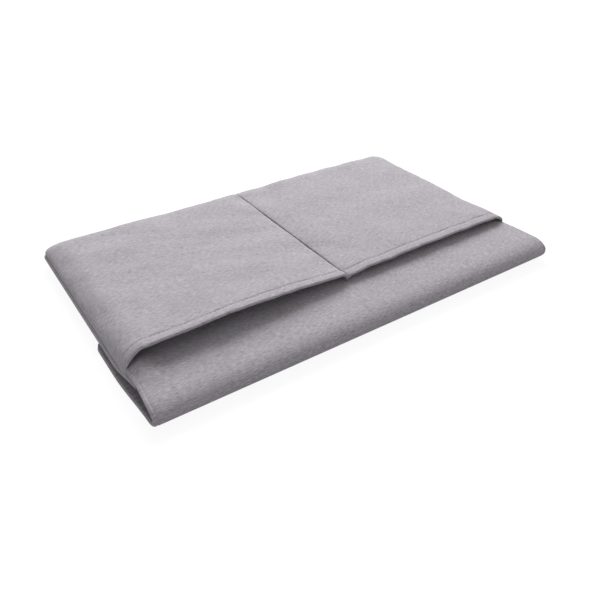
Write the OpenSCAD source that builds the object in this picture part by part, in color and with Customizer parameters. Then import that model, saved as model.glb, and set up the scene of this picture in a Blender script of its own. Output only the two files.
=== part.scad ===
// Padded laptop sleeve with a wrap-under flap and two document pockets.
// Frame: X runs along the width, -Y is the rolled front, +Z is up, and z = 0 is the flap's underside.

/* [Overall] */
// Width of the sleeve, side seam to side seam
sleeve_w = 390; // [330:1:430]
// Depth of the folded sleeve, front roll to back seam
sleeve_d = 246; // [215:1:290]
// Radius of the back corners
corner_r = 8; // [3:1:20]

/* [Layers] */
// Thickness of the woven outer fabric
fabric_t = 0.8; // [0.4:0.1:1.2]
// Thickness of the brushed lining
lining_t = 0.6; // [0.3:0.1:1]
// Thickness of the foam between fabric and lining
foam_t = 2.4; // [1.5:0.1:5]
// Thickness of the foam in the flap, which is doubled at its edge
flap_foam_t = 3.6; // [1.5:0.1:6]

/* [Laptop compartment] */
// Height of the empty compartment
compartment_h = 5; // [4.8:0.1:30]
// Distance from the roll's lining to the mouth of the compartment
mouth_setback = 30; // [3:0.5:60]
// Width of the tape that binds the sewn edges
binding_w = 6; // [3:0.5:12]

/* [Pockets] */
// Distance from the front of the roll to the pocket mouths
pocket_setback = 49; // [30:1:90]
// Height of the empty pockets under their panels
pocket_h = 5.6; // [5.2:0.1:12]
// Height at which the pocket panels meet the side and back seams
pocket_edge_h = 2.2; // [1.6:0.1:4]
// Height at which the pocket panels meet the centre seam
pocket_valley_h = 3.8; // [2:0.1:6]
// Width of the slope from the seams up to the panel
slope_w = 14; // [6:1:30]
// Width of the slope from the centre seam up to the panel
valley_w = 9; // [4:1:20]
// Width of the folded hem at each mouth
hem_w = 10; // [5:0.5:20]
// Width of the centre seam between the two pockets
centre_seam_w = 2; // [1:0.5:5]

/* [Flap] */
// Distance from the front of the roll to the flap's free edge
flap_reach = 106; // [60:1:150]
// Radius of the flap's free corners
flap_corner_r = 9; // [3:1:25]
// How far the roll and the flap stay inside the side seams
flap_inset = 0; // [0:0.5:8]
// Gap between the flap and the underside panel
flap_gap = 0.4; // [0.3:0.1:3]
// Clearance at each fold, so that the folds open flat
fold_gap = 0.2; // [0.15:0.05:1]

/* [Magnets] */
// Radius of the round closure magnets
magnet_r = 6; // [3:0.5:10]
// Thickness of the closure magnets
magnet_t = 1.4; // [0.8:0.1:1.4]
// Distance from the middle to each magnet
magnet_x = 95; // [40:1:150]
// Distance from the flap's free edge to the magnets
magnet_setback = 16; // [10:1:40]

/* [Hidden] */
$fn = 64;

thread_t = 0.3;
tack_h = 0.8;
cut = 1;                                   // how far a cutting shape runs past the face it opens
panel_t = fabric_t + foam_t + lining_t;
flap_t = fabric_t + flap_foam_t + lining_t;
front_y = -sleeve_d / 2;
back_y = sleeve_d / 2;
half_w = sleeve_w / 2;
fold_y = front_y + panel_t;                // both folds turn about lines on the lining side
under_z0 = flap_t + flap_gap;
under_z1 = under_z0 + panel_t;
top_z0 = under_z1 + compartment_h;
top_z1 = top_z0 + panel_t;
mouth_y = fold_y + mouth_setback;
pocket_y = front_y + pocket_setback;
pocket_t = fabric_t + lining_t;
pocket_top = top_z1 + pocket_h + pocket_t;
flap_end_y = front_y + flap_reach;
magnet_y = flap_end_y - magnet_setback;

outer_grey = [0.71, 0.69, 0.72];
shade_grey = [0.60, 0.58, 0.61];
lining_grey = [0.34, 0.33, 0.35];
foam_grey = [0.86, 0.86, 0.84];
thread_grey = [0.52, 0.50, 0.53];
magnet_silver = [0.75, 0.75, 0.76];

// Plan outline with a straight front edge and two round back corners.
module outline(half, y0, y1, r) {
    translate([-half, y0]) square([2 * half, y1 - r - y0]);
    translate([-half + r, y0]) square([2 * (half - r), y1 - y0]);
    for (side = [-1, 1]) translate([side * (half - r), y1 - r]) circle(r);
}

// Flat slab with that outline, pulled in by inset at the sides and the back.
module slab(half, y0, y1, r, z0, z1, inset = 0) {
    translate([0, 0, z0]) linear_extrude(z1 - z0) outline(half - inset, y0, y1 - inset, r - inset);
}

module body_slab(y0, z0, z1, inset = 0) slab(half_w, y0, back_y, corner_r, z0, z1, inset);

module flap_slab(z0, z1, inset = 0)
    slab(half_w - flap_inset, fold_y + fold_gap, flap_end_y, flap_corner_r, z0, z1, inset);

// Disc magnets side by side across the sleeve.
module magnets(z0, t, r) {
    for (side = [-1, 1]) translate([side * magnet_x, magnet_y, z0]) cylinder(h = t, r = r);
}

// Section across one pocket from the side seam to the centre seam, on the right-hand side.
module pocket_section(inset) {
    x_out = half_w - inset;
    x_in = centre_seam_w / 2 + inset;
    z_top = pocket_top - inset;
    polygon([
        [x_in, top_z1 - cut], [x_out, top_z1 - cut],
        [x_out, top_z1 + pocket_edge_h - inset], [x_out - slope_w, z_top],
        [x_in + valley_w, z_top], [x_in, top_z1 + pocket_valley_h - inset]
    ]);
}

// Section along one pocket from its mouth to the back seam.
module pocket_profile(inset) {
    y_end = back_y - inset;
    z_top = pocket_top - inset;
    polygon([
        [pocket_y - cut * sign(inset), top_z1 - cut], [y_end, top_z1 - cut],
        [y_end, top_z1 + pocket_edge_h - inset], [y_end - slope_w, z_top],
        [pocket_y - cut * sign(inset), z_top]
    ]);
}

// The space under one layer of the right pocket panel: both sections and the plan outline agree.
// The floor is where the panel meets the back panel, or below it for a shape that cuts.
module pocket_form(inset, z_floor) {
    intersection() {
        translate([0, back_y + cut, 0]) rotate([90, 0, 0])
            linear_extrude(sleeve_d + 2 * cut) pocket_section(inset);
        rotate([90, 0, 90]) linear_extrude(half_w + cut) pocket_profile(inset);
        body_slab(pocket_y - cut, z_floor, pocket_top + cut, inset);
    }
}

module pocket_layer(outer_inset, inner_inset) {
    difference() {
        pocket_form(outer_inset, top_z1);
        pocket_form(inner_inset, top_z1 - cut);
        // the linings end level with the fabric at the mouth
        translate([-cut, pocket_y - 2 * cut, top_z1 - cut])
            cube([half_w + 2 * cut, 2 * cut, pocket_h + pocket_t + 2 * cut]);
    }
}

module hem_strip() {
    x0 = centre_seam_w / 2 + pocket_t + valley_w;
    x1 = half_w - pocket_t - slope_w;
    translate([x0, pocket_y, pocket_top - pocket_t - fabric_t]) cube([x1 - x0, hem_w, fabric_t]);
}

module hem_thread() {
    x0 = centre_seam_w / 2 + valley_w;
    x1 = half_w - slope_w;
    translate([x0, pocket_y + hem_w - 2 * thread_t, pocket_top])
        cube([x1 - x0, 2 * thread_t, thread_t]);
}

module left() mirror([1, 0, 0]) children();

module side_tape() {
    x1 = half_w - fabric_t;
    translate([x1 - binding_w, mouth_y, under_z1])
        cube([binding_w, back_y - corner_r - mouth_y, compartment_h]);
}

module back_outer_fabric() {
    color(outer_grey) difference() {
        body_slab(fold_y + fold_gap, top_z0, top_z1);
        body_slab(fold_y + fold_gap - cut, top_z0 - cut, top_z1 - fabric_t, fabric_t);
    }
}

module back_padding()
    color(foam_grey) body_slab(fold_y + fold_gap, top_z0 + lining_t, top_z1 - fabric_t, fabric_t);

module back_lining()
    color(lining_grey) body_slab(fold_y + fold_gap, top_z0, top_z0 + lining_t, fabric_t);

module underside_outer_fabric() {
    color(outer_grey) difference() {
        body_slab(mouth_y + fabric_t, under_z0, under_z1);
        body_slab(mouth_y + fabric_t - cut, under_z0 + fabric_t, under_z1 + cut, fabric_t);
    }
}

module underside_padding() {
    color(foam_grey) difference() {
        body_slab(mouth_y + fabric_t, under_z0 + fabric_t, under_z1 - lining_t, fabric_t);
        magnets(under_z0 + fabric_t - cut, magnet_t + cut, magnet_r);
    }
}

module underside_lining()
    color(lining_grey) body_slab(mouth_y + fabric_t, under_z1 - lining_t, under_z1, fabric_t);

module underside_magnets() color(magnet_silver) magnets(under_z0 + fabric_t, magnet_t, magnet_r);

module left_side_binding() color(lining_grey) left() side_tape();

module right_side_binding() color(lining_grey) side_tape();

module back_binding() {
    color(lining_grey) translate([-half_w + corner_r, back_y - fabric_t - binding_w, under_z1])
        cube([2 * (half_w - corner_r), binding_w, compartment_h]);
}

module compartment_mouth_binding()
    color(shade_grey) translate([-half_w, mouth_y, under_z0]) cube([sleeve_w, fabric_t, panel_t]);

module compartment_mouth_stitches() {
    x1 = half_w - fabric_t - binding_w;
    color(thread_grey) translate([-x1, mouth_y + 3 * fabric_t, under_z1])
        cube([2 * x1, 2 * thread_t, thread_t]);
}

module left_pocket_panel() color(outer_grey) left() pocket_layer(0, fabric_t);

module right_pocket_panel() color(outer_grey) pocket_layer(0, fabric_t);

module left_pocket_lining() color(lining_grey) left() pocket_layer(fabric_t, pocket_t);

module right_pocket_lining() color(lining_grey) pocket_layer(fabric_t, pocket_t);

module left_pocket_hem() color(shade_grey) left() hem_strip();

module right_pocket_hem() color(shade_grey) hem_strip();

module left_hem_stitches() color(thread_grey) left() hem_thread();

module right_hem_stitches() color(thread_grey) hem_thread();

module pocket_centre_seam() {
    color(shade_grey) translate([-centre_seam_w / 2, pocket_y, top_z1])
        cube([centre_seam_w, back_y - slope_w - pocket_y, pocket_edge_h]);
}

module centre_hem_tack() {
    color(thread_grey) translate([-centre_seam_w / 2, pocket_y, top_z1 + pocket_edge_h])
        cube([centre_seam_w, hem_w, tack_h]);
}

// One upright layer of the roll, from a distance behind its front face.
module roll_layer(y0, t) {
    half = half_w - flap_inset;
    translate([-half, front_y + y0, flap_t + fold_gap])
        cube([2 * half, t, top_z0 - flap_t - 2 * fold_gap]);
}

module roll_outer_fabric() color(outer_grey) roll_layer(0, fabric_t);

module roll_padding() color(foam_grey) roll_layer(fabric_t, foam_t);

module roll_lining() color(lining_grey) roll_layer(fabric_t + foam_t, lining_t);

module flap_outer_fabric() {
    color(outer_grey) difference() {
        flap_slab(0, flap_t);
        translate([0, -cut, 0]) flap_slab(fabric_t, flap_t + cut, fabric_t);
        flap_slab(fabric_t, flap_t + cut, fabric_t);
    }
}

module flap_padding() {
    color(foam_grey) difference() {
        flap_slab(fabric_t, flap_t - lining_t, fabric_t);
        magnets(flap_t - lining_t - magnet_t, magnet_t + cut, magnet_r);
    }
}

module flap_lining() color(lining_grey) flap_slab(flap_t - lining_t, flap_t, fabric_t);

module flap_magnets() color(magnet_silver) magnets(flap_t - lining_t - magnet_t, magnet_t, magnet_r);

back_outer_fabric();
back_padding();
back_lining();
underside_outer_fabric();
underside_padding();
underside_lining();
underside_magnets();
left_side_binding();
right_side_binding();
back_binding();
compartment_mouth_binding();
compartment_mouth_stitches();
left_pocket_panel();
right_pocket_panel();
left_pocket_lining();
right_pocket_lining();
left_pocket_hem();
right_pocket_hem();
left_hem_stitches();
right_hem_stitches();
pocket_centre_seam();
centre_hem_tack();
roll_outer_fabric();
roll_padding();
roll_lining();
flap_outer_fabric();
flap_padding();
flap_lining();
flap_magnets();
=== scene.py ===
# %% [markdown]
# # A padded laptop sleeve
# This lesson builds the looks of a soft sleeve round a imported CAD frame. The CAD holds the sizes,
# the layers and the two folds. Here every soft layer becomes a curved cloth surface.
# The first cell loads the frame, and every place below is worked out from it.

# %% Load the frame
import math

import bpy
import numpy as np
from mathutils import Matrix, Vector


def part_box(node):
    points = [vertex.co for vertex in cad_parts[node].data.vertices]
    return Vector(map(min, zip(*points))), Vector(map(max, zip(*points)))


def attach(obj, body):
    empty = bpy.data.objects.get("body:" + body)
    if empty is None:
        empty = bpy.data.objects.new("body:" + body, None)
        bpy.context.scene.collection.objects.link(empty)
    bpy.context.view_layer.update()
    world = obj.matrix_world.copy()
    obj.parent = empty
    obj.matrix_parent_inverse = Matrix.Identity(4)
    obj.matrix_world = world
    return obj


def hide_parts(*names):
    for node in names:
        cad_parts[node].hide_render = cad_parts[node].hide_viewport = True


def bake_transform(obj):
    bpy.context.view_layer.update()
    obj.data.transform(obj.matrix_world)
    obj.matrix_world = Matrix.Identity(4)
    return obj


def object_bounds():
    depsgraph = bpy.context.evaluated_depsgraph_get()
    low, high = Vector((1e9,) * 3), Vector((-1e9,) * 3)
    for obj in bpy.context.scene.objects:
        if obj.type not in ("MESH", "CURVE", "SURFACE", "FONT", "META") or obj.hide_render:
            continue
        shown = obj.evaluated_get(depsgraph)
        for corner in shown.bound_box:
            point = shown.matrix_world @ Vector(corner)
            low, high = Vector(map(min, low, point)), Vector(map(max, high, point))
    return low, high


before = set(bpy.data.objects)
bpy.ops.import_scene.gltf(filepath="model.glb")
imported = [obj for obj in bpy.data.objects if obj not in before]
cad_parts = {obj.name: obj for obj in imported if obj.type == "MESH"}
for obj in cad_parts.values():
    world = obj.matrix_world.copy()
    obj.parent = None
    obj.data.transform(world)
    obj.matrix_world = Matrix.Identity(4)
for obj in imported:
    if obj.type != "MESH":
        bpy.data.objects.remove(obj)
cad_low, cad_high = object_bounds()
print("the CAD box is", [round(v * 1000, 1) for v in cad_high - cad_low], "mm")

# %% [markdown]
# ## Sizes
# The frame is in metres, and cloth is easier to think about in millimetres. So the levels of the layers
# are read from the CAD nodes into millimetres, and meshes are turned back into metres when they are made.

# %% Levels and edges in millimetres
MM = 0.001


def low(node, axis):
    """Lowest coordinate of a CAD node along an axis, in millimetres."""
    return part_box(node)[0][axis] / MM


def high(node, axis):
    """Highest coordinate of a CAD node along an axis, in millimetres."""
    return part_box(node)[1][axis] / MM


X, Y, Z = 0, 1, 2
HALF_W = cad_high.x / MM
FRONT_Y = cad_low.y / MM
BACK_Y = cad_high.y / MM
CORNER_R = 8.0
FABRIC_T = 0.8
LINING_T = 0.6

FLAP_T = high("flap_lining", Z)
FLAP_END_Y = high("flap_outer_fabric", Y)
UNDER_Z = low("underside_outer_fabric", Z)
PANEL_T = high("underside_outer_fabric", Z) - UNDER_Z
MOUTH_Y = low("compartment_mouth_binding", Y)
TOP_Z = high("back_outer_fabric", Z)
FOLD_Y = high("roll_lining", Y)
FOLD_TOP_Z = low("back_lining", Z)
POCKET_Y = low("left_pocket_panel", Y)
MID_Z = TOP_Z / 2
ROLL_START_Y = FRONT_Y + 16.5
print("roll from", ROLL_START_Y, "mm, pocket mouths at", POCKET_Y, "mm, flap ends at", FLAP_END_Y, "mm")

# %% [markdown]
# ## Mesh tools
# A cloth surface is a grid of points. Two such grids, one for each face of the cloth, joined round the rim,
# make a closed solid. The tools below do that with whole arrays, so no loop walks over the points.

# %% Grids to meshes


def grid_quads(rows, columns):
    """Quads between neighbouring points of a grid: point (r, c) has the index r * columns + c."""
    r, c = np.meshgrid(np.arange(rows - 1), np.arange(columns - 1), indexing="ij")
    first = r * columns + c
    return np.stack([first, first + columns, first + columns + 1, first + 1], -1).reshape(-1, 4)


def rim_loop(rows, columns):
    """Indices of a grid's outermost points, in order, once round."""
    index = np.arange(rows * columns).reshape(rows, columns)
    return np.concatenate([index[0, :-1], index[:-1, -1], index[-1, :0:-1], index[:0:-1, 0]])


def signed_volume(points, quads):
    """Volume that the faces enclose, summed over tetrahedra from the origin: negative if they face in."""
    a, b, c, d = (points[quads[:, k]] for k in range(4))
    return float((np.cross(a, b) * c).sum() + (np.cross(a, c) * d).sum()) / 6


def make_mesh(name, points, quads, uv, material):
    """A smooth-shaded object from points in millimetres, with the UV map Cloth in metres, facing outwards."""
    if signed_volume(points, quads) < 0:
        quads = quads[:, ::-1]
    mesh = bpy.data.meshes.new(name)
    mesh.from_pydata((points * MM).tolist(), [], quads.tolist())
    layer = mesh.uv_layers.new(name="Cloth")
    corners = quads.ravel()
    layer.data.foreach_set("uv", (uv[corners] * MM).astype(np.float32).ravel())
    mesh.polygons.foreach_set("use_smooth", np.ones(len(mesh.polygons), bool))
    mesh.materials.append(material)
    mesh.update()
    piece = bpy.data.objects.new(name, mesh)
    bpy.context.scene.collection.objects.link(piece)
    return piece


def cloth_lengths(points):
    """Where each grid point lies on the cloth before it was bent: lengths along its row and its column.
    They start at the middle of the grid, and a pattern isn't stretched where the surface is steep."""
    across = np.pad(np.linalg.norm(np.diff(points, axis=1), axis=-1), ((0, 0), (1, 0))).cumsum(1)
    along = np.pad(np.linalg.norm(np.diff(points, axis=0), axis=-1), ((1, 0), (0, 0))).cumsum(0)
    rows, columns = across.shape
    across = across - across[:, columns // 2, None]
    return np.stack([across, along - along[rows // 2]], -1)


def closed_layer(name, outer, inner, material):
    """Closed solid between two grids: one face each, and a strip of quads that joins their rims."""
    rows, columns = outer.shape[:2]
    count = rows * columns
    face = grid_quads(rows, columns)
    loop = rim_loop(rows, columns)
    after = np.roll(loop, -1)
    rim = np.stack([loop, after, after + count, loop + count], -1)
    points = np.concatenate([outer.reshape(-1, 3), inner.reshape(-1, 3)])
    quads = np.concatenate([face, face[:, ::-1] + count, rim])
    return make_mesh(name, points, quads, np.tile(cloth_lengths(outer).reshape(-1, 2), (2, 1)), material)


def surface_normals(points):
    """Unit normal at each grid point: the cross product of the differences along rows and columns."""
    n = np.cross(np.gradient(points, axis=0), np.gradient(points, axis=1))
    return n / np.maximum(np.linalg.norm(n, axis=-1, keepdims=True), 1e-9)


print("3 by 4 points make", len(grid_quads(3, 4)), "quads, with", len(rim_loop(3, 4)), "points on the rim")

# %% [markdown]
# ## Soft shapes
# Padding never meets its seam at a sharp corner. It leaves the seam upright and rounds over, which is a
# quarter of an ellipse. The lines of each grid crowd together towards the seams, where the surface turns
# fastest. A subdivided low mesh would do it too, but a formula puts each seam exactly where the CAD has it.

# %% Edge profiles and gentle ripples


def quarter(distance, width):
    """Height of a quarter ellipse, 0 at the seam with an upright start, and 1 from width inwards."""
    t = np.clip(distance / width, 0, 1)
    return np.sqrt(1 - (1 - t) ** 2)


def smooth(t):
    """Smoothstep: 0 before 0, 1 after 1, and an even S between them."""
    t = np.clip(t, 0, 1)
    return t * t * (3 - 2 * t)


def crowded(width, count):
    """Distances from a seam up to width, crowded towards the seam as the cosine of an even turn is."""
    return width * (1 - np.cos(np.linspace(0, math.pi / 2, count)))


def both_sides(half, width, count, step):
    """Positions from -half to half: crowded near both ends, and about step apart between."""
    edge = crowded(width, count)
    middle = np.linspace(-half + width, half - width, int(2 * (half - width) / step) + 1)
    return np.concatenate([-half + edge, middle[1:-1], (half - edge)[::-1]])


def one_side(start, end, width, count, step):
    """Positions from start to end, crowded near the end."""
    even = np.linspace(start, end - width, int(abs(end - width - start) / step) + 1)
    return np.concatenate([even[:-1], (end - crowded(width, count))[::-1]])


def ripples(x, y, seed, wavelength, spread=0.5, waves=9):
    """Soft unevenness of about 1: a sum of plane waves with seeded directions, lengths and phases."""
    draw = np.random.default_rng(seed)
    total = np.zeros(np.broadcast(x, y).shape)
    for _ in range(waves):
        turn = draw.uniform(0, math.pi)
        length = wavelength * draw.uniform(1 - spread, 1 + spread)
        phase = draw.uniform(0, 2 * math.pi)
        total += np.cos(2 * math.pi * (x * math.cos(turn) + y * math.sin(turn)) / length + phase)
    return total / math.sqrt(waves / 2)


def round_corners(x, y, half, back, radius):
    """Moves a grid's square back corners onto round ones, as a square (a, b) is mapped onto a disc:
    (a * sqrt(1 - b * b / 2), b * sqrt(1 - a * a / 2))."""
    cx, cy = half - radius, back - radius
    a = np.clip((np.abs(x) - cx) / radius, 0, 1.2)
    b = np.clip((y - cy) / radius, 0, 1.2)
    both = (a > 0) & (b > 0)
    new_a = np.where(both, a * np.sqrt(np.clip(1 - b * b / 2, 0, 1)), a)
    new_b = np.where(both, b * np.sqrt(np.clip(1 - a * a / 2, 0, 1)), b)
    new_x = np.where(np.abs(x) > cx, np.sign(x) * (cx + radius * new_a), x)
    new_y = np.where(y > cy, cy + radius * new_b, y)
    return new_x, new_y


print("a fifth of the way in from its seam, padding is", quarter(0.2, 1).round(2), "of its full height")

# %% [markdown]
# ## Shader maths
# Node trees are hard to read when every Math node is placed by hand. A small class wraps a socket, so that
# `streak * 0.3 + 0.5` adds the nodes for it, and one method places any other node.

# %% A socket that can be added and multiplied


class Wire:
    """An output socket of a material, with the arithmetic that shader maths needs."""

    def __init__(self, bench, socket):
        self.bench = bench
        self.socket = socket

    def maths(self, operation, *values):
        """A Math node on numbers and other outputs."""
        return self.bench.add("ShaderNodeMath", {"operation": operation}, values)

    def __add__(self, other):
        return self.maths("ADD", self, other)

    def __sub__(self, other):
        return self.maths("SUBTRACT", self, other)

    def __mul__(self, other):
        return self.maths("MULTIPLY", self, other)

    __radd__, __rmul__ = __add__, __mul__

    def sine(self):
        return self.maths("SINE", self)

    def within(self, lowest, highest):
        """This output, kept between two limits."""
        return self.maths("MINIMUM", self.maths("MAXIMUM", self, lowest), highest)


class Bench:
    """A new material's node tree, with one method that adds any node."""

    def __init__(self, name):
        self.material = bpy.data.materials.new(name)
        self.material.use_nodes = True
        self.tree = self.material.node_tree
        self.shader = self.tree.nodes["Principled BSDF"]

    def add(self, kind, settings=None, values=(), output=0):
        """Adds a node, makes its settings, and fills or links its inputs, given in order or by name."""
        node = self.tree.nodes.new(kind)
        for key, value in (settings or {}).items():
            setattr(node, key, value)
        pairs = values.items() if isinstance(values, dict) else enumerate(values)
        for key, value in pairs:
            self.plug(value, node.inputs[key])
        return Wire(self, node.outputs[output])

    def plug(self, value, socket):
        if isinstance(value, Wire):
            self.tree.links.new(value.socket, socket)
        else:
            socket.default_value = value

    def uv(self):
        """The cloth's own coordinates in metres: across the sleeve, and along its length."""
        where = self.add("ShaderNodeUVMap", {"uv_map": "Cloth"})
        split = self.tree.nodes.new("ShaderNodeSeparateXYZ")
        self.plug(where, split.inputs[0])
        return Wire(self, split.outputs[0]), Wire(self, split.outputs[1])

    def noise(self, u, v, u_size, v_size, detail=2.0):
        """Noise from 0 to 1 whose blotches are about u_size by v_size metres."""
        place = self.add("ShaderNodeCombineXYZ", values=(u * (1 / u_size), v * (1 / v_size), 0.0))
        sockets = {"Vector": place, "Scale": 1.0, "Detail": detail, "Roughness": 0.5}
        return self.add("ShaderNodeTexNoise", {"noise_dimensions": "2D"}, sockets)

    def shade(self, name, value):
        """Sets or links one of the shader's inputs."""
        self.plug(value, self.shader.inputs[name])

    def paint(self, amount, first, second):
        """Mixes two colours by amount, as the surface's own colour."""
        values = {0: amount, 6: first, 7: second}
        self.shade("Base Color", self.add("ShaderNodeMix", {"data_type": "RGBA"}, values, output=2))

    def bump(self, height, distance, strength=1.0):
        """Raises the surface by a height from 0 to 1, distance metres deep."""
        values = {"Height": height, "Distance": distance, "Strength": strength}
        self.shade("Normal", self.add("ShaderNodeBump", values=values))


# %% [markdown]
# ## The heather cloth
# Heather yarn is spun from light and dark fibres, so each weft thread changes tone every few millimetres and
# the cloth shows short streaks across the sleeve. A plain weave of fine threads lies under them.
# Both follow the cloth's UV map, which is in metres, so the streaks run on round the folds. A pattern on
# Object coordinates would be cut by them instead.

# %% Heather cloth
THREAD_PITCH = 0.0007


def heather_cloth(name, dark, light):
    """Woven melange: streaks along the weft tint two greys, and the weave's threads stand up as sines."""
    bench = Bench(name)
    u, v = bench.uv()
    fine = bench.noise(u, v, 0.0040, 0.0006, 2.0)
    yarn = bench.noise(u, v, 0.011, 0.0009, 2.0)
    slub = bench.noise(u, v, 0.030, 0.0022, 2.0)
    warp = bench.noise(u, v, 0.0009, 0.006, 1.0)
    patch = bench.noise(u, v, 0.05, 0.03, 2.0)
    shares = ((fine, 2.4), (yarn, 0.9), (slub, 0.3), (warp, 0.4), (patch, 0.2))
    tone = sum(((noise - 0.5) * share for noise, share in shares), 0.5)
    bench.paint(tone.within(0.0, 1.0), dark, light)
    turn = 2 * math.pi / THREAD_PITCH
    threads = (u * turn).sine() * (v * turn).sine()
    bench.shade("Roughness", 0.86 + (fine - 0.5) * 0.16)
    bench.bump(0.5 + threads * 0.25 + (fine - 0.5) * 0.4 + (yarn - 0.5) * 0.2, 0.00016, 0.7)
    bench.shade("Sheen Weight", 0.12)
    bench.shade("Sheen Roughness", 0.55)
    bench.shade("Specular IOR Level", 0.2)
    return bench.material


outer_cloth = heather_cloth("heather_cloth", (0.330, 0.309, 0.338, 1), (0.540, 0.509, 0.553, 1))
print(outer_cloth.name, "has", len(outer_cloth.node_tree.nodes), "nodes")

# %% [markdown]
# ## The lining, foam, tape and thread
# The lining is a brushed cloth: it has the heather's greys but darker, with faint streaks under a short nap.
# The foam shows only if the sleeve is cut open, and it still gets its fine cells. Tape and thread are too
# narrow for noise alone to read as woven or spun, so their ribs and their twist are sines.

# %% Lining, foam, tape and thread


def brushed_lining(name):
    """Short nap over streaks: fine noise tints a dark grey and raises it a little."""
    bench = Bench(name)
    u, v = bench.uv()
    nap = bench.noise(u, v, 0.0008, 0.0011, 3.0)
    streak = bench.noise(u, v, 0.009, 0.0014, 2.0)
    swirl = bench.noise(u, v, 0.018, 0.012, 2.0)
    tone = (nap - 0.5) * 0.9 + (streak - 0.5) * 1.8 + (swirl - 0.5) * 0.5 + 0.5
    bench.paint(tone.within(0.0, 1.0), (0.165, 0.150, 0.165, 1), (0.330, 0.302, 0.328, 1))
    bench.shade("Roughness", 0.9 + (nap - 0.5) * 0.1)
    bench.bump(nap, 0.0003, 0.6)
    bench.shade("Sheen Weight", 0.3)
    bench.shade("Sheen Roughness", 0.5)
    return bench.material


def foam_cells(name):
    """Closed-cell foam: a fine cell pattern darkens and dents a warm white."""
    bench = Bench(name)
    where = bench.add("ShaderNodeTexCoord", output=3)
    cells = bench.add("ShaderNodeTexVoronoi", values={"Vector": where, "Scale": 900.0})
    bench.paint(cells.within(0.0, 1.0), (0.62, 0.61, 0.58, 1), (0.78, 0.77, 0.74, 1))
    bench.shade("Roughness", 0.8 + cells * 0.15)
    bench.bump(cells, 0.0003, 0.5)
    return bench.material


def ribbed_tape(name, dark, light):
    """Binding tape: fine ribs across its width, with a little unevenness in the dye."""
    bench = Bench(name)
    u, v = bench.uv()
    ribs = (v * (2 * math.pi / 0.0008)).sine()
    uneven = bench.noise(u, v, 0.004, 0.004, 2.0)
    tone = 0.5 + ribs * 0.25 + (uneven - 0.5) * 0.6
    bench.paint(tone.within(0.0, 1.0), dark, light)
    bench.shade("Roughness", 0.8 + (uneven - 0.5) * 0.15)
    bench.bump(0.5 + ribs * 0.4, 0.0002, 0.7)
    return bench.material


def spun_thread(name, dark, light):
    """Twisted sewing thread: slanting bands along each stitch, from a twill of its two coordinates."""
    bench = Bench(name)
    u, v = bench.uv()
    twist = (u * (2 * math.pi / 0.0006) + v * (2 * math.pi / 0.0018)).sine()
    tone = 0.5 + twist * 0.45
    bench.paint(tone.within(0.0, 1.0), dark, light)
    bench.shade("Roughness", 0.6 + twist * 0.08)
    bench.bump(0.5 + twist * 0.5, 0.00008, 0.7)
    bench.shade("Sheen Weight", 0.2)
    return bench.material


def nickel_plate(name):
    """Plated magnet: fine scratches vary the roughness of a pale metal."""
    bench = Bench(name)
    where = bench.add("ShaderNodeTexCoord", output=3)
    scratches = bench.add("ShaderNodeTexNoise", values={"Vector": where, "Scale": 2500.0, "Detail": 3.0})
    bench.paint(scratches, (0.52, 0.52, 0.54, 1), (0.66, 0.66, 0.68, 1))
    bench.shade("Roughness", 0.25 + scratches * 0.2)
    bench.shade("Metallic", 1.0)
    return bench.material


lining_cloth = brushed_lining("brushed_lining")
foam = foam_cells("foam_cells")
binding_tape = ribbed_tape("binding_tape", (0.10, 0.10, 0.11, 1), (0.17, 0.165, 0.175, 1))
thread = spun_thread("spun_thread", (0.30, 0.285, 0.305, 1), (0.46, 0.44, 0.47, 1))
nickel = nickel_plate("nickel_plate")
for magnet in ("underside_magnets", "flap_magnets"):
    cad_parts[magnet].data.materials.clear()
    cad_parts[magnet].data.materials.append(nickel)
print("materials:", sorted(m.name for m in bpy.data.materials))

# %% [markdown]
# ## Padded panels along a path
# The back panel, the roll and the flap are one long padded strip on the real sleeve. It is followed in rows:
# level rows, then rows round a quarter of an ellipse to the middle of the roll, where the next body takes
# over. The two halves meet on a short upright stretch, so their shading joins without a line.
# Each layer is the same surface at another depth, with its outline pulled in by that depth. Thickening one
# sheet would be quicker, but the layers' rims would not close together at the seam as sewn ones do.

# %% Paths
EDGE_W = 3.4
EDGE_ROWS = 12
STEP = 3.0
TURN_ROWS = 14
SEAM_SHARE = 0.7
EDGE_STITCH = 3.4
STRAIGHT = 0.6
TOP_REACH = ROLL_START_Y - FRONT_Y
UNDER_REACH = 13.0
FLAP_START_Y = FRONT_Y + UNDER_REACH
TURN_DROP = MID_Z - STRAIGHT


def top_path():
    """From the back seam over the top to the middle of the roll: y, z, and the way out's y and z."""
    level = one_side(ROLL_START_Y, BACK_Y - FABRIC_T, EDGE_W, EDGE_ROWS, STEP)[::-1]
    turn = np.linspace(0, math.pi / 2, TURN_ROWS)[1:]
    y = np.concatenate([level, ROLL_START_Y - TOP_REACH * np.sin(turn), [FRONT_Y]])
    z = np.concatenate([np.full(len(level), TOP_Z), MID_Z + STRAIGHT + TURN_DROP * np.cos(turn), [MID_Z]])
    out_y = np.concatenate([np.zeros(len(level)), -np.sin(turn) / TOP_REACH, [-1]])
    out_z = np.concatenate([np.ones(len(level)), np.cos(turn) / TURN_DROP, [0]])
    size = np.hypot(out_y, out_z)
    return y, z, out_y / size, out_z / size


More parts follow.
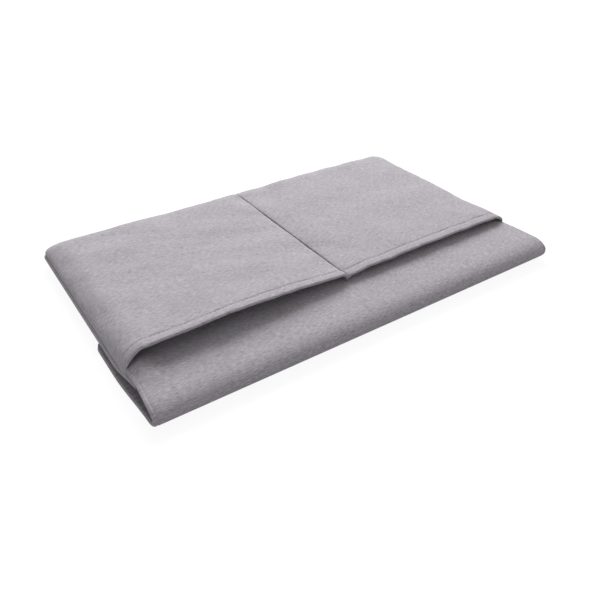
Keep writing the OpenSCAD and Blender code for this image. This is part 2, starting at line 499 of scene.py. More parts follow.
def under_path():
    """From the middle of the roll under the sleeve to the flap's free edge, with the same four columns."""
    turn = np.linspace(math.pi / 2, 0, TURN_ROWS)[:-1]
    level = one_side(FLAP_START_Y, FLAP_END_Y, EDGE_W, EDGE_ROWS, STEP)
    y = np.concatenate([[FRONT_Y], FLAP_START_Y - UNDER_REACH * np.sin(turn), level])
    z = np.concatenate([[MID_Z], MID_Z - STRAIGHT - TURN_DROP * np.cos(turn), np.zeros(len(level))])
    out_y = np.concatenate([[-1], -np.sin(turn) / UNDER_REACH, np.zeros(len(level))])
    out_z = np.concatenate([[0], -np.cos(turn) / TURN_DROP, -np.ones(len(level))])
    size = np.hypot(out_y, out_z)
    return y, z, out_y / size, out_z / size


def pad_columns():
    """Positions across a pad from -1 to 1: crowded at the rim, and close together at the edge stitching."""
    x = both_sides(HALF_W, EDGE_W, EDGE_ROWS, STEP)
    near = np.arange(-1.0, 1.5, 0.5) + EDGE_STITCH
    inwards = HALF_W - np.abs(x)
    clear = (np.abs(inwards - EDGE_STITCH) > 0.3) & ((inwards < EDGE_W * 0.8) | (inwards > 5))
    return np.unique(np.round(np.concatenate([x[clear], HALF_W - near, near - HALF_W]), 4)) / HALF_W


print("over the top", len(top_path()[0]), "rows, under", len(under_path()[0]), "rows of", len(pad_columns()))

# %% Faces of a pad
STITCH_DEPTH = 0.5


def seam_groove(from_middle):
    """How far a pad's rim is pulled in where its two cloths are sewn together, halfway up its edge."""
    return 2.0 * np.exp(-((from_middle / 0.75) ** 2))


def pad_face(path, half, thickness, end_y, radius, t, lining_side=False, lift=None):
    """Points at depth t under the outer face, or over the lining face, all along a path.

    Half and thickness are given for each row. At the free edges the depth grows along a quarter ellipse until
    the two faces meet, nearer the lining. A line of edge stitching sinks into the outer face just inside the
    free edges. lift(x, y) moves level stretches up or down.
    """
    path_y, path_z, out_y, out_z = path
    half, thickness = half[:, None], thickness[:, None]
    x = pad_columns()[None, :] * half
    y = np.broadcast_to(path_y[:, None], x.shape)
    rise_x, rise_y = quarter(half - np.abs(x), EDGE_W), quarter(end_y - y, EDGE_W)
    share = 1 - SEAM_SHARE if lining_side else SEAM_SHARE
    depth = t + (thickness * share - t) * (1 - rise_x * rise_y)
    pull_x, pull_y = (seam_groove((thickness * share - t) * rise) for rise in (rise_x, rise_y))
    if lining_side:
        depth = thickness - depth
    else:
        inwards = np.minimum(half - np.abs(x), end_y - y)
        depth = depth + STITCH_DEPTH * np.exp(-(((inwards - EDGE_STITCH) / 0.6) ** 2))
    near_end = 1 - np.clip((end_y - y) / (2 * radius), 0, 1)
    narrower, shorter = x * (half - t - pull_x) / half, y - (t + pull_y) * near_end
    px, py = round_corners(narrower, shorter, half - t, end_y - t, radius)
    pz = path_z[:, None] - depth * out_z[:, None]
    if lift is not None:
        pz = pz + lift(x, y)
    return np.stack([px, py - depth * out_y[:, None], pz], -1)


# %% The shape of the back panel
SEAM_HALF = HALF_W - 1.4
ROLL_HALF = HALF_W - 0.2
FLAP_HALF = HALF_W + 3.0
FLAP_CORNER_R = 9.0
DOME, DROOP, BULGE = 1.4, 3.6, 5.5


def back_lift(x, y):
    """What lies inside lifts the middle of the panel by a flat dome. Behind the compartment's mouth the edges
    droop to the side seams, and the padding is a little uneven. At the left end of the mouths the seam pulls
    up a bulge."""
    span = np.clip((y - ROLL_START_Y) / (BACK_Y - ROLL_START_Y), 0, 1)
    dome = DOME * (1 - (x / HALF_W) ** 2) * np.sin(math.pi * span) ** 0.7
    inside = quarter(SEAM_HALF - np.abs(x), 22) * quarter(BACK_Y - y, 22)
    droop = DROOP * smooth((y - (MOUTH_Y - 4)) / 34) * (1 - inside)
    uneven = 0.22 * ripples(x, y, 11, 46) * smooth((y - ROLL_START_Y) / 20) * inside
    bulge = BULGE * np.exp(-(((x + HALF_W - 13) / 9) ** 2) - ((y - POCKET_Y + 3) / 14) ** 2)
    return dome - droop + uneven + bulge


def back_face(t, lining_side=False):
    """The back panel and the upper half of the roll at one depth."""
    path = top_path()
    half = SEAM_HALF + (ROLL_HALF - SEAM_HALF) * smooth((ROLL_START_Y + 12 - path[0]) / 20)
    thickness = np.full(len(path[0]), PANEL_T)
    return pad_face(path, half, thickness, BACK_Y - FABRIC_T, CORNER_R, t, lining_side, back_lift)


def flap_face(t, lining_side=False):
    """The lower half of the roll and the flap at one depth. The flap is thicker than the roll, and wider."""
    path = under_path()
    gone = smooth((path[0] - FLAP_START_Y + 8) / 60)
    half = ROLL_HALF + (FLAP_HALF - ROLL_HALF) * gone
    thickness = PANEL_T + (FLAP_T - PANEL_T) * gone
    return pad_face(path, half, thickness, FLAP_END_Y, FLAP_CORNER_R, t, lining_side)


cloth_rows = back_face(0)
print("the back panel's cloth rises to", cloth_rows[..., Z].max().round(1), "mm:", cloth_rows.shape[:2])

# %% [markdown]
# ## The folds
# Real cloth turns over a fold gradually. So each panel is one piece over its fold. Each fold's blend from one
# body to the next, along a diagonal through the hinge, is worked out and printed here. Two pieces cut there
# would part when it opens.

# %% The folds


def diagonal(y_sign, first, last):
    """Start and end of a blend that runs down and along y, between two distances along that diagonal."""
    step = Vector((0, y_sign, -1)).normalized()
    return {"start": step * (first * MM), "end": step * (last * MM)}


FLAP_FOLD_Z = high("flap_lining", Z)
top_hinge = (-FOLD_Y - FOLD_TOP_Z) / math.sqrt(2)
flap_hinge = (FOLD_Y - FLAP_FOLD_Z) / math.sqrt(2)
over_top = (("sleeve", "roll"), diagonal(-1, top_hinge - 4.0, top_hinge + 3.3))
under_front = (("roll", "flap"), diagonal(1, flap_hinge - 2.6, flap_hinge + 5.2))
for pair, blend in (over_top, under_front):
    print("the blend from", pair[0], "to", pair[1], "runs from", blend["start"], "to", blend["end"])


def layer_piece(name, outer, inner, material, replaced):
    """One closed layer between two faces, bent over a fold, that stands for CAD nodes."""
    piece = closed_layer(name, outer, inner, material)
    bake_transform(piece)
    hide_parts(*replaced)
    return piece


# %% The back panel's and the flap's layers
GAP = 0.03
for face, prefix, nodes, fold in (
    (back_face, "back_panel", ("back", "roll"), over_top),
    (flap_face, "flap_panel", ("flap",), under_front),
):
    outer = layer_piece(prefix + "_cloth", face(0), face(FABRIC_T), outer_cloth,
        [n + "_outer_fabric" for n in nodes])
    layer_piece(prefix + "_foam", face(FABRIC_T + GAP), face(LINING_T + GAP, True), foam,
        [n + "_padding" for n in nodes])
    layer_piece(prefix + "_lining", face(LINING_T, True), face(0, True), lining_cloth,
        [n + "_lining" for n in nodes])
    print(prefix, "cloth has", len(outer.data.polygons), "faces")

# %% [markdown]
# ## The underside panel
# It closes the compartment from below: a pad with its outer cloth down. Its sides and back rise to the seam,
# and show under the pocket panels as a thin strip. Its front edge is the compartment's mouth. It is a height
# over a plan, like the back panel, and its rim turns in so that a dark seam is left above it.

# %% Underside
UNDER_HALF = HALF_W + 0.8
UNDER_EDGE = 5.5
UNDER_RISE = 3.9
SEAM_Z = UNDER_Z + 6.4
TUCK_IN = 2.6
MOUTH_REACH = 34.0
MOUTH_RAISE, MOUTH_DRAWN_IN = 3.4, 3.0


def tuck(points, axis, last, way, rise, limit):
    """Adds four rows (axis 0) or columns (axis 1) beyond one edge of a grid: a small quarter round that
    leaves the edge up or down and ends inside, in the seam. It goes no further than the height limit."""
    bend = np.linspace(0, math.pi / 2, 5)[1:]
    inward = TUCK_IN * (1 - np.cos(bend))
    move = np.stack([way[0] * inward, way[1] * inward, rise * np.sin(bend)], -1)
    extra = np.take(points, [-1] if last else [0], axis) + (move[:, None] if axis == 0 else move[None])
    extra[..., Z] = np.clip(extra[..., Z], *((-99, limit) if rise > 0 else (limit, 99)))
    return np.concatenate([points, extra] if last else [np.flip(extra, axis), points], axis)


def underside_face(t, lining_side=False, y_lines=None, half=UNDER_HALF, sewn=False):
    """Points at depth t inside the outer face, or under the lining face: level in the middle, and rising to
    the sides and the back along a quarter ellipse. At the mouth the two faces close together, and the mouth's
    ends rise to the back panel. The sewn cloth also turns in above its widest line, to the seam."""
    end_y = BACK_Y - max(HALF_W - half, 0.2)
    if y_lines is None:
        lip = MOUTH_Y + crowded(3.5, 7)
        y_lines = np.concatenate([lip[:-1], one_side(lip[-1], end_y, UNDER_EDGE, EDGE_ROWS, STEP)])
    x, y = np.meshgrid(both_sides(half, UNDER_EDGE, EDGE_ROWS, STEP), y_lines)
    e = quarter(half - np.abs(x), UNDER_EDGE) * quarter(end_y - y, UNDER_EDGE)
    closing = (PANEL_T / 2 - t) * (1 - quarter(y - MOUTH_Y, 3))
    uneven = 0.2 * np.abs(ripples(x, y, 23, 52)) * e
    to_mouth = smooth((MOUTH_Y + MOUTH_REACH - y) / MOUTH_REACH)
    uneven = uneven + MOUTH_RAISE * to_mouth * (1 - quarter(half - np.abs(x), 18))
    if lining_side:
        z = UNDER_Z + PANEL_T - t - closing + (UNDER_RISE - PANEL_T + t) * (1 - e)
    else:
        z = UNDER_Z + t + closing + (UNDER_RISE - t) * (1 - e)
    near_end = 1 - np.clip((end_y - y) / (2 * CORNER_R), 0, 1)
    near_lip = 1 - np.clip((y - MOUTH_Y) / 6, 0, 1)
    shorter = y - t * near_end + t * near_lip
    px, py = round_corners(x * (half - t) / half, shorter, half - t, end_y - t, CORNER_R)
    points = np.stack([px * (1 - MOUTH_DRAWN_IN / half * to_mouth), py, z + uneven], -1)
    if sewn:
        to_seam = SEAM_Z - 0.3 - UNDER_Z - UNDER_RISE
        points = tuck(points, 1, False, (1, 0), to_seam, SEAM_Z + 2.0)
        points = tuck(points, 1, True, (-1, 0), to_seam, SEAM_Z + 2.0)
        points = tuck(points, 0, True, (0, -1), to_seam, SEAM_Z)
    return points


def riding_piece(name, outer, inner, material, replaced):
    """One closed layer between two faces that moves with the sleeve's body and stands for CAD nodes."""
    piece = closed_layer(name, outer, inner, material)
    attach(piece, "sleeve")
    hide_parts(*replaced)
    return piece


INNER_HALF = UNDER_HALF - 1.0
under_cloth = riding_piece("underside_cloth", underside_face(0, sewn=True),
    underside_face(FABRIC_T, sewn=True), outer_cloth, ["underside_outer_fabric"])
under_foam = riding_piece("underside_foam", underside_face(FABRIC_T + GAP, half=INNER_HALF),
    underside_face(LINING_T + GAP, True, half=INNER_HALF), foam, ["underside_padding"])
under_lining = riding_piece("underside_lining_cloth", underside_face(LINING_T, True, half=INNER_HALF),
    underside_face(0, True, half=INNER_HALF), lining_cloth, ["underside_lining"])
for pad in (under_cloth, under_foam, under_lining):
    print(pad.name, "has", len(pad.data.polygons), "faces")

# %% [markdown]
# ## The binding of the mouth
# The compartment's mouth has a raw edge of three layers, so a strip of the outer cloth is folded over it. The
# strip is the underside's own two faces, a little further out, taken round the lip in one grid.

# %% The binding of the mouth
BINDING_REACH = 8.0
BINDING_T = 0.45


def mouth_binding(t):
    """Cloth folded over the mouth's edge: along the underside, round the lip, and back over the lining."""
    y_lines = MOUTH_Y + BINDING_REACH * (1 - np.cos(np.linspace(0, math.pi / 2, 12)))
    low_side, high_side = (underside_face(t, top, y_lines, INNER_HALF) for top in (False, True))
    return np.concatenate([low_side[::-1], high_side[1:]])


binding = riding_piece("mouth_binding", mouth_binding(-BINDING_T), mouth_binding(-0.02), outer_cloth,
    ["compartment_mouth_binding"])
print("the mouth's binding reaches back", BINDING_REACH, "mm")

# %% [markdown]
# ## The pocket panels
# Each pocket panel is a cloth sewn down along the side, the back and the centre seam, and free at its mouth.
# What is carried in the pocket lifts the mouth, so the panel is a dome that grows towards the mouth and falls
# to its seams. At the mouth the cloth is folded under and stitched down, so the sheet itself turns round the
# edge and runs back below. It is a height over the plan, plus rows that leave it along its normal.

# %% Shape of a pocket panel
POCKET_HALF = HALF_W - 0.8
POCKET_BACK = BACK_Y - 0.6
POCKET_SEAM_Z = SEAM_Z + 1.6
HEM_W = high("left_pocket_hem", Y) - POCKET_Y
STITCH_AT = HEM_W - 0.9
HEM_R = 1.3
HEM_SKEW = 2.75
TUCK_DROP, CENTRE_DROP = 1.6, 2.2
HEM_CORNERS = {-1: 5.0, 1: 2.0}
LIFTS = {-1: (3.6, 5.2), 1: (2.5, -0.9)}
VALLEYS = {-1: 6.0, 1: 15.0}
SHOULDERS = {-1: 1.3, 1: 0.0}


def hem_y(x):
    """The mouths' edge runs a little askew, and back at both ends, where the cloth comes down to the seam."""
    ends = 1.5 * (1 - quarter(POCKET_HALF - np.abs(x), 16))
    return POCKET_Y + HEM_SKEW * x / HALF_W + ends


def pocket_height(side, x, y, from_hem):
    """Height of a pocket panel: a dome over the valley of the centre seam, brought down to the side and back
    seams by quarter ellipses. The hem is a low band with a groove where it is stitched."""
    t = np.clip((POCKET_BACK - y) / (POCKET_BACK - POCKET_Y), 0, 1)
    across = np.clip(np.abs(x) / POCKET_HALF, 0, 1)
    valley = TOP_Z + 3.0 + 1.0 * np.sin(math.pi / 2 * t) + 1.8 * t ** 3
    lift = LIFTS[side][0] + LIFTS[side][1] * np.sin(math.pi / 2 * np.minimum(across / 0.6, 1))
    dome = TOP_Z + 4.2 + 1.0 * t + 0.9 * np.sin(math.pi * across) + lift * t ** 2.6
    dome = dome + SHOULDERS[side] * np.sin(math.pi * t) * np.exp(-np.abs(x) / 30)
    dome = dome + 0.38 * ripples(x, y, 31 + side, 62) + 0.10 * ripples(x, y, 41 + side, 17)
    top = valley + (dome - valley) * quarter(np.abs(x), VALLEYS[side] * (0.5 + 0.5 * t))
    edge_w = 21 - 4 * smooth((40 - from_hem) / 40)
    e = quarter(POCKET_HALF - np.abs(x), edge_w) * quarter(POCKET_BACK - y, 20)
    band = 0.35 * np.sin(math.pi * np.clip(from_hem / STITCH_AT, 0, 1)) ** 0.7
    groove = -0.5 * np.exp(-(((from_hem - STITCH_AT) / 0.8) ** 2))
    pucker = 0.10 * np.cos(2 * math.pi * x / 3.4) * np.exp(-(((from_hem - STITCH_AT) / 2.0) ** 2))
    pull = drag_folds(side, x, from_hem)
    return POCKET_SEAM_Z + (top - POCKET_SEAM_Z) * e + (band + groove + pucker + pull) * e


def drag_folds(side, x, from_hem):
    """Shallow folds that fan out from the sewn end of the mouth, where the lifted cloth pulls on its seam."""
    dx, dy = POCKET_HALF - np.abs(x), from_hem + 8.0
    reach, turn = np.hypot(dx, dy), np.arctan2(dy, dx)
    fan = 0.55 * np.cos(turn * 9.0 + 0.6 * side) + 0.3 * np.cos(turn * 17.0 + 1.1)
    return fan * smooth((reach - 10) / 18) * np.exp(-reach / 34)


SETTLED = {}


def settled(side, x, from_hem):
    """Height that the cloth simulation added at a place on the panel, between its four nearest points."""
    if side not in SETTLED:
        return 0.0
    moves, depth = SETTLED[side], POCKET_BACK - POCKET_Y
    r = np.clip(from_hem / depth, 0, 1) * (len(moves) - 1.001)
    c = np.clip(np.abs(x) / POCKET_HALF, 0, 1) * (moves.shape[1] - 1.001)
    r0, c0 = r.astype(int), c.astype(int)
    fr, fc = r - r0, c - c0
    near = moves[r0, c0] * (1 - fc) + moves[r0, c0 + 1] * fc
    far = moves[r0 + 1, c0] * (1 - fc) + moves[r0 + 1, c0 + 1] * fc
    return near * (1 - fr) + far * fr


def pocket_point(side, x, from_hem):
    """A point on the panel's outer face, at a distance across and a distance back from the hem's edge. Next
    to the centre seam the cloth stands a little off, so that a slit is left between the two panels."""
    stretch = (POCKET_BACK - hem_y(x)) / (POCKET_BACK - POCKET_Y)
    y = hem_y(x) + from_hem * stretch
    z = pocket_height(side, x, y, from_hem) + settled(side, x, from_hem)
    t = np.clip(from_hem / (POCKET_BACK - POCKET_Y), 0, 1)
    slit = 0.15 + 1.0 * np.sin(math.pi * t ** 0.8) ** 0.8 * smooth((from_hem - 3) / 8)
    x = x + side * slit * np.clip(1 - np.abs(x) / 20, 0, 1) ** 2
    px, ahead = round_corners(x, -from_hem, POCKET_HALF, 0.0, HEM_CORNERS[side])
    px, py = round_corners(px, hem_y(x) - ahead * stretch, POCKET_HALF, POCKET_BACK, CORNER_R)
    return np.stack([px, py, z], -1)


def pocket_columns(side):
    """Lines across one panel, from the centre seam to the side seam, crowded at both."""
    centre = 0.05 + crowded(VALLEYS[side], 9)
    edge = POCKET_HALF - crowded(20, 16)[::-1]
    middle = np.linspace(centre[-1], edge[0], int((edge[0] - centre[-1]) / STEP) + 1)
    return side * np.concatenate([centre, middle[1:-1], edge])


HEM_LINES, STITCH_LINES = 6, 7


def hem_rows():
    """Distances back from the hem's edge: close at the fold and the stitching, and crowded at the back."""
    hem = np.linspace(HEM_R, STITCH_AT - 1.6, HEM_LINES)
    stitching = np.linspace(STITCH_AT - 1.2, STITCH_AT + 1.2, STITCH_LINES)
    return np.concatenate([hem, stitching, one_side(STITCH_AT + 2.2, POCKET_BACK - POCKET_Y, 20, 16, STEP)])


def directions(side, x, k):
    """Unit vectors on the panel's face: up out of it, and forward along it towards the mouth."""
    small = 0.3
    across = pocket_point(side, x + side * small, k) - pocket_point(side, x - side * small, k)
    forward = pocket_point(side, x, k - small) - pocket_point(side, x, k + small)
    up = np.cross(forward, across) * side
    up *= np.sign(up[..., 2:3]) + (up[..., 2:3] == 0)
    return (v / np.maximum(np.linalg.norm(v, axis=-1, keepdims=True), 1e-9) for v in (up, forward))


def pocket_sheet(side):
    """The folded panel's outer face: the panel, half a turn round the hem's edge, and the return below. At
    the side and back seams the sheet turns in under itself, and along the centre it drops into its seam."""
    x_lines = pocket_columns(side)
    k_lines = hem_rows()[::-1]
    x, k = np.meshgrid(x_lines, k_lines)
    panel = pocket_point(side, x, k)
    turn = np.linspace(0, math.pi, 9)[1:]
    back = np.linspace(HEM_R + 1, HEM_W, 6)
    fold_k = np.concatenate([np.full(len(turn), HEM_R), back])
    ahead = np.concatenate([HEM_R * np.sin(turn), np.zeros(len(back))])
    down = np.concatenate([HEM_R * (1 - np.cos(turn)), np.full(len(back), 2 * HEM_R)])
    x2, k2 = np.meshgrid(x_lines, fold_k)
    up, forward = directions(side, x2, k2)
    flatter = 0.35 + 0.65 * quarter(POCKET_HALF - np.abs(x2), 8)[..., None]
    fold = pocket_point(side, x2, k2) + ahead[:, None, None] * forward - down[:, None, None] * up * flatter
    points = tuck(np.concatenate([panel, fold]), 1, True, (-side, 0), -TUCK_DROP, SEAM_Z - 0.2)
    points = tuck(points, 0, False, (0, -1), -TUCK_DROP, SEAM_Z - 0.2)
    wall = np.linspace(0, 1, 4)[:0:-1, None]
    centre = points[:, :1] + np.concatenate([-side * 0.25 * wall, 0 * wall, -CENTRE_DROP * wall], -1)
    return np.concatenate([centre, points], 1)


def inside_of(points, t):
    """The same grid moved in by t along its own normals."""
    normal = surface_normals(points)
    flip = 1 if normal[len(normal) // 2, normal.shape[1] // 2, 2] > 0 else -1
    return points - t * flip * normal


print("a pocket panel's grid:", pocket_sheet(-1).shape[:2], "points")

# %% [markdown]
# ## Cloth that has settled
# A formula's dome is too even for cloth. So each panel is first run as real cloth: a single sheet, held along
# its three sewn edges, cut a little larger than its dome, and blown up softly from below. Its spare cloth
# settles into shallow waves. Their height, smoothed and capped, is then added to the formula. Using the
# simulated mesh itself would lose the hem's fold and the fine rows at the stitching.

# %% Cloth simulation
SIM_ROWS, SIM_COLUMNS, SIM_FRAMES = 44, 44, 22
SPARE_CLOTH = 0.012
MOST_MOVE = 1.6


def simulate_panel(side):
    """Runs one panel as cloth and returns how far each point of its grid rises, in millimetres."""
    depth = POCKET_BACK - POCKET_Y
    x, k = np.meshgrid(np.linspace(0, POCKET_HALF, SIM_COLUMNS), np.linspace(0, depth, SIM_ROWS))
    start = pocket_point(side, side * np.maximum(x, 0.05), np.maximum(k, 0.5))
    quads = grid_quads(SIM_ROWS, SIM_COLUMNS)
    sheet = make_mesh("sim_sheet", start.reshape(-1, 3), quads, start[..., :2].reshape(-1, 2), outer_cloth)
    held = np.zeros((SIM_ROWS, SIM_COLUMNS), bool)
    held[-1], held[:, 0], held[:, -1] = True, True, True
    sheet.vertex_groups.new(name="seams").add(np.flatnonzero(held).tolist(), 1.0, "REPLACE")
    cloth = sheet.modifiers.new("Cloth", "CLOTH")
    cloth.settings.quality = 8
    cloth.settings.mass = 0.15
    cloth.settings.tension_stiffness = cloth.settings.compression_stiffness = 12
    cloth.settings.bending_stiffness = 1.5
    cloth.settings.vertex_group_mass = "seams"
    cloth.settings.shrink_min = -SPARE_CLOTH
    cloth.settings.use_pressure = True
    cloth.settings.uniform_pressure_force = 0.4
    cloth.settings.effector_weights.gravity = 0.0
    cloth.collision_settings.use_collision = False
    for moment in range(1, SIM_FRAMES + 1):
        bpy.context.scene.frame_set(moment)
    found = sheet.evaluated_get(bpy.context.evaluated_depsgraph_get()).to_mesh()
    end = np.empty(len(found.vertices) * 3)
    found.vertices.foreach_get("co", end)
    bpy.data.objects.remove(sheet)
    bpy.context.scene.frame_set(1)
    rise = end.reshape(SIM_ROWS, SIM_COLUMNS, 3)[..., 2] / MM - start[..., 2]
    for _ in range(2):
        rise[1:-1, 1:-1] = (rise[:-2, 1:-1] + rise[2:, 1:-1] + rise[1:-1, :-2] + rise[1:-1, 2:]) / 4
    return MOST_MOVE * np.tanh(rise / MOST_MOVE)


for side in (-1, 1):
    SETTLED[side] = simulate_panel(side)
    print("panel", side, "rises", SETTLED[side].min().round(2), "to", SETTLED[side].max().round(2), "mm")

# %% The pocket panels and their linings
SIDE_NAMES = {-1: "left", 1: "right"}
BEHIND_STITCHING = HEM_LINES + STITCH_LINES - 1
UNDER_CLOTH = FABRIC_T + 0.1
for side, word in SIDE_NAMES.items():
    face = pocket_sheet(side)
    panel = riding_piece(word + "_pocket_cloth", face, inside_of(face, FABRIC_T), outer_cloth,
        [word + "_pocket_panel", word + "_pocket_hem"])
    top_face = pocket_point(side, *np.meshgrid(pocket_columns(side), hem_rows()[BEHIND_STITCHING:][::-1]))
    lining = riding_piece(word + "_pocket_lining_cloth", inside_of(top_face, UNDER_CLOTH),
        inside_of(top_face, UNDER_CLOTH + LINING_T), lining_cloth, [word + "_pocket_lining"])
    for sheet, grid, held in ((panel, face, "folded"), (lining, top_face, "stretched")):
        lengths = cloth_lengths(grid)

# %% [markdown]
# ## Threads, seams and tapes
# Stitches are short arched threads. One stitch is a small tube, and the whole row is that tube repeated along
# the stitching line, all at once. Seams and bindings are tubes carried along the line of their seam.

# %% Tubes


def tube(line, across, up, width, height, sides=10):
    """Closed flattened tube round a line: at each point an ellipse, cos(turn) across and sin(turn) up, which
    shrinks at both ends. across and up are one vector, or one for each point. Returns points and UVs."""
    across, up = np.broadcast_to(across, line.shape), np.broadcast_to(up, line.shape)
    turn = np.linspace(0, 2 * math.pi, sides, endpoint=False)
    ring = np.cos(turn)[None, :, None] * across[:, None] * width / 2
    ring = ring + np.sin(turn)[None, :, None] * up[:, None] * height / 2
    shrink = np.ones(len(line))
    shrink[[0, -1]] = 0.02
    points = line[:, None] + ring * shrink[:, None, None]
    length = np.concatenate([[0], np.cumsum(np.linalg.norm(np.diff(line, axis=0), axis=1))])
    uv = np.stack(np.broadcast_arrays(length[:, None], turn[None, :] * width / 2), -1)
    return points, uv


def tube_piece(name, tubes, material, replaced):
    """One piece from many tubes with the same number of points: their quads share one pattern."""
    points = np.stack([t[0] for t in tubes])
    uv = np.stack([t[1] for t in tubes])
    count, rows, sides = points.shape[:3]
    index = np.arange(rows * sides).reshape(rows, sides)
    after = np.roll(index, -1, axis=1)
    quads = np.stack([index[:-1], index[1:], after[1:], after[:-1]], -1).reshape(-1, 4)
    # the two pinched ends are closed by fans of quads across the ring
    half = sides // 2
    fan = np.arange(half - 1)
    fan_quads = np.stack([fan, fan + 1, sides - 2 - fan, sides - 1 - fan], -1)
    quads = np.concatenate([quads, index[0][fan_quads], index[-1][::-1][fan_quads]])
    quads = (quads[None] + (np.arange(count) * rows * sides)[:, None, None]).reshape(-1, 4)
    piece = make_mesh(name, points.reshape(-1, 3), quads, uv.reshape(-1, 2), material)
    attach(piece, "sleeve")
    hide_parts(*replaced)
    print(name, "has", count, "tubes")


# %% The rows of stitches on the hems
STITCH_LENGTH = 2.5
STITCH_PITCH = 3.4
THREAD_W = 0.5


def hem_stitches(side):
    """Stitches along the hem: each follows the panel's face from end to end and dips in at both."""
    starts = np.arange(5.0, POCKET_HALF - 4.5, STITCH_PITCH)
    part = np.linspace(0, 1, 7)
    x = side * (starts[:, None] + part[None] * STITCH_LENGTH)
    k = np.full_like(x, STITCH_AT)
    up, forward = directions(side, x, k)
    arch = (0.30 * np.sin(math.pi * part) - 0.12)[None, :, None]
    line = pocket_point(side, x, k) + up * arch
    return [tube(line[i], forward[i], up[i], THREAD_W, THREAD_W * 0.8, 6) for i in range(len(starts))]


for side, word in SIDE_NAMES.items():
    tube_piece(word + "_hem_topstitch", hem_stitches(side), thread, [word + "_hem_stitches"])

# %% [markdown]
# ## The centre seam
# One seam sews both pocket panels down to the back panel. Its turned edges lie low between the two domes,
# as a narrow cord: a tube along the line where the two formulas meet. Where it meets the hems, a bar tack
# of thread takes the pull of the open mouths.

# %% The centre seam and its tack
SEAM_DEPTH, SEAM_W, SEAM_H = 2.4, 1.6, 1.4
CROSSWAYS, ALONG, UPWARDS = np.eye(3)
seam_k = np.linspace(3, POCKET_BACK - POCKET_Y - 4, 70)
seam_line = sum(pocket_point(side, np.full_like(seam_k, side * 0.05), seam_k) for side in SIDE_NAMES) / 2
seam_line = seam_line - SEAM_DEPTH * UPWARDS
tube_piece("centre_seam_cord", [tube(seam_line, CROSSWAYS, UPWARDS, SEAM_W, SEAM_H)], outer_cloth,
    ["pocket_centre_seam"])


def tack_bars():
    """A bar tack: thread laid to and fro across the centre seam, at the front end of the hems."""
    k = np.linspace(2.0, 8.6, 14)
    part = np.linspace(-1, 1, 7)
    bars = []
    for distance in k:
        x = part * 1.5
        left = pocket_point(-1, np.minimum(x, -0.05), np.full(7, distance))
        right = pocket_point(1, np.maximum(x, 0.05), np.full(7, distance))
        line = np.where((x < 0)[:, None], left, right)
        line[:, 0] = x
        line[:, 2] = np.maximum(line[:, 2], line[3, 2] + 0.2) + 0.15
        bars.append(tube(line, ALONG, UPWARDS, 0.45, 0.4, 6))
    return bars


tube_piece("hem_tack", tack_bars(), thread, ["centre_hem_tack"])

# %% [markdown]
# ## Inside the compartment
# The seams' raw edges would fray against a laptop, so each is covered by a flat tape: a wide, low tube along
# its seam. The mouth's binding has a row of stitches like those of the hems.

# %% The tapes on the seams
TAPE_W, TAPE_T = 5.0, 1.6


def binding_tube(start, end, points=60):
    """A flat tape folded over a straight seam inside the compartment."""
    line = np.linspace(start, end, points)
    way = (line[-1] - line[0]) / np.linalg.norm(line[-1] - line[0])
    return tube(line, np.cross(UPWARDS, way), UPWARDS, TAPE_W, TAPE_T)


SEAM_X = HALF_W - FABRIC_T - TAPE_W / 2 - 2.5
TAPE_Z = SEAM_Z - 0.1
BACK_TAPE_Y = BACK_Y - CORNER_R
for side, word in SIDE_NAMES.items():
    tape = binding_tube((side * SEAM_X, MOUTH_Y + 4, TAPE_Z), (side * SEAM_X, BACK_TAPE_Y - 4, TAPE_Z))
    tube_piece(word + "_seam_tape", [tape], binding_tape, [word + "_side_binding"])
back_tape = binding_tube((-SEAM_X, BACK_TAPE_Y, TAPE_Z), (SEAM_X, BACK_TAPE_Y, TAPE_Z))
tube_piece("back_seam_tape", [back_tape], binding_tape, ["back_binding"])

# %% The stitches of the mouth's binding


def mouth_stitches():
    """Stitches along the lining side of the mouth's binding, arched like those of the hems."""
    starts = np.arange(-SEAM_X + 4, SEAM_X - 6, STITCH_PITCH)
    part = np.linspace(0, 1, 7)
    z = UNDER_Z + PANEL_T + BINDING_T + 0.28 * np.sin(math.pi * part) - 0.08
    stitch = np.stack([part * STITCH_LENGTH, np.full(7, MOUTH_Y + 6.4), z], -1)
    return [tube(stitch + start * CROSSWAYS, ALONG, UPWARDS, THREAD_W, THREAD_W * 0.8, 6) for start in starts]


tube_piece("mouth_binding_stitches", mouth_stitches(), thread, ["compartment_mouth_stitches"])

# %% [markdown]
# ## Floor, light and camera
# A pale floor, one large soft light above and behind, and a weak fill from all round keep the cloth's own
# tone and show its padding by soft shade. A small hard lamp would show the weave but hide the padding.

# %% Floor and light
FLOOR_HALF = 6.0
GLOW_SHARE = 0.82


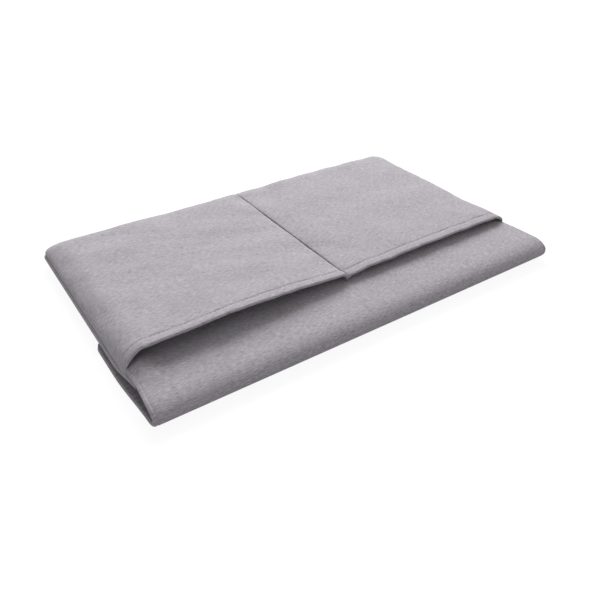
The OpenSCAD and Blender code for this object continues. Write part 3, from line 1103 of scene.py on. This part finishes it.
def stage():
    """A wide pale floor under the sleeve. To the camera it also glows a little, so that it looks white."""
    bench = Bench("pale_floor")
    where = bench.add("ShaderNodeTexCoord", output=3)
    grain = bench.add("ShaderNodeTexNoise", values={"Vector": where, "Scale": 3.0})
    bench.paint(grain, (0.62, 0.62, 0.625, 1), (0.66, 0.66, 0.665, 1))
    bench.shade("Roughness", 0.5)
    glow = bench.tree.nodes.new("ShaderNodeEmission")
    glow.inputs[1].default_value = 1.12
    seen = bench.add("ShaderNodeLightPath", output=0)
    mix = bench.tree.nodes.new("ShaderNodeMixShader")
    bench.plug(seen * GLOW_SHARE, mix.inputs[0])
    bench.tree.links.new(bench.shader.outputs[0], mix.inputs[1])
    bench.tree.links.new(glow.outputs[0], mix.inputs[2])
    bench.tree.links.new(mix.outputs[0], bench.tree.nodes["Material Output"].inputs[0])
    mesh = bpy.data.meshes.new("floor")
    corners = [(x * FLOOR_HALF, y * FLOOR_HALF, 0) for x, y in ((-1, -1), (1, -1), (1, 1), (-1, 1))]
    mesh.from_pydata(corners, [], [(0, 1, 2, 3)])
    mesh.materials.append(bench.material)
    floor = bpy.data.objects.new("floor", mesh)
    bpy.context.scene.collection.objects.link(floor)


def soft_light(name, place, aim, size, power):
    """A square area light that faces a point."""
    data = bpy.data.lights.new(name, "AREA")
    data.size = size
    data.energy = power
    lamp = bpy.data.objects.new(name, data)
    lamp.location = place
    lamp.rotation_euler = (Vector(aim) - Vector(place)).to_track_quat("-Z", "Y").to_euler()
    bpy.context.scene.collection.objects.link(lamp)


stage()
soft_light("top_light", (0.8, 1.38, 1.4), (0, 0, 0), 1.35, 47.5)
world = bpy.data.worlds.new("studio")
world.use_nodes = True
world.node_tree.nodes["Background"].inputs[0].default_value = (1, 1, 1, 1)
world.node_tree.nodes["Background"].inputs[1].default_value = 0.41
bpy.context.scene.world = world
bpy.context.scene.view_settings.view_transform = "Standard"

# %% [markdown]
# ## The camera
# It stands close, looks down on the front left corner and is turned by less than a degree. Its place is given
# by a point to look at, two angles and a distance, which are easier to adjust than a position.

# %% Camera
AIM = Vector((-0.0354, -0.0544, 0.0))
AZIMUTH, ELEVATION, ROLL = math.radians(-34.48), math.radians(36.13), math.radians(0.72)
DISTANCE = 0.5183
camera_data = bpy.data.cameras.new("camera")
camera_data.lens = 37.07
camera_data.sensor_width = 36.0
camera_data.shift_x, camera_data.shift_y = 0.001, 0.0042
camera = bpy.data.objects.new("camera", camera_data)
level = math.cos(ELEVATION)
back_way = Vector((math.sin(AZIMUTH) * level, -math.cos(AZIMUTH) * level, math.sin(ELEVATION)))
rolled = Matrix.Rotation(ROLL, 3, "Z").to_quaternion()
camera.rotation_mode = "QUATERNION"
camera.rotation_quaternion = (-back_way).to_track_quat("-Z", "Y") @ rolled
camera.location = AIM + back_way * DISTANCE
bpy.context.scene.collection.objects.link(camera)
bpy.context.scene.camera = camera
print("the camera is at", [round(v, 3) for v in camera.location])
